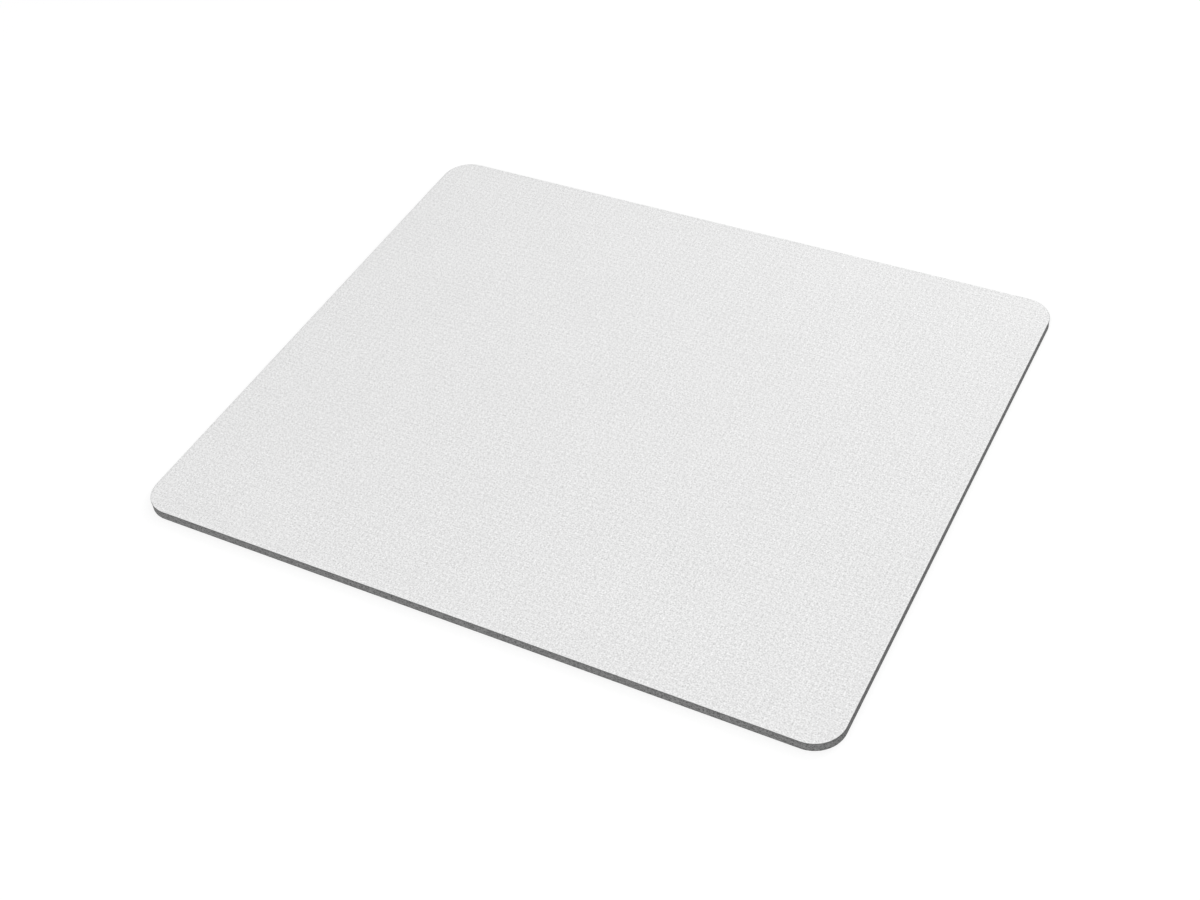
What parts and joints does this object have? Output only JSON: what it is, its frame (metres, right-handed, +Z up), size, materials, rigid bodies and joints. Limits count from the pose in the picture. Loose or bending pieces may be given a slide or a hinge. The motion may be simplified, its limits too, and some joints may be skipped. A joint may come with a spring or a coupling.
{
  "type": "mouse pad",
  "caption": "Flat rectangular mouse pad with rounded corners: a woven cloth top bonded to a foamed rubber base with a ribbed non-slip underside.",
  "frame": {"origin": "middle of the ribbed underside, on the plane of its ribs, which the pad rests on", "axes": "+X along the longer edge, to the right; +Y along the shorter edge, away from the user; +Z up, out of the cloth"},
  "size_m": [0.235, 0.1994, 0.0032],
  "materials": {
    "foamed_rubber": "matte",
    "bonding_film": "matte",
    "woven_cloth": "matte"
  },
  "bodies": {
    "root": {"rubber_base": "foamed_rubber", "adhesive_film": "bonding_film", "cloth_top": "woven_cloth"}
  },
  "joints": []
}
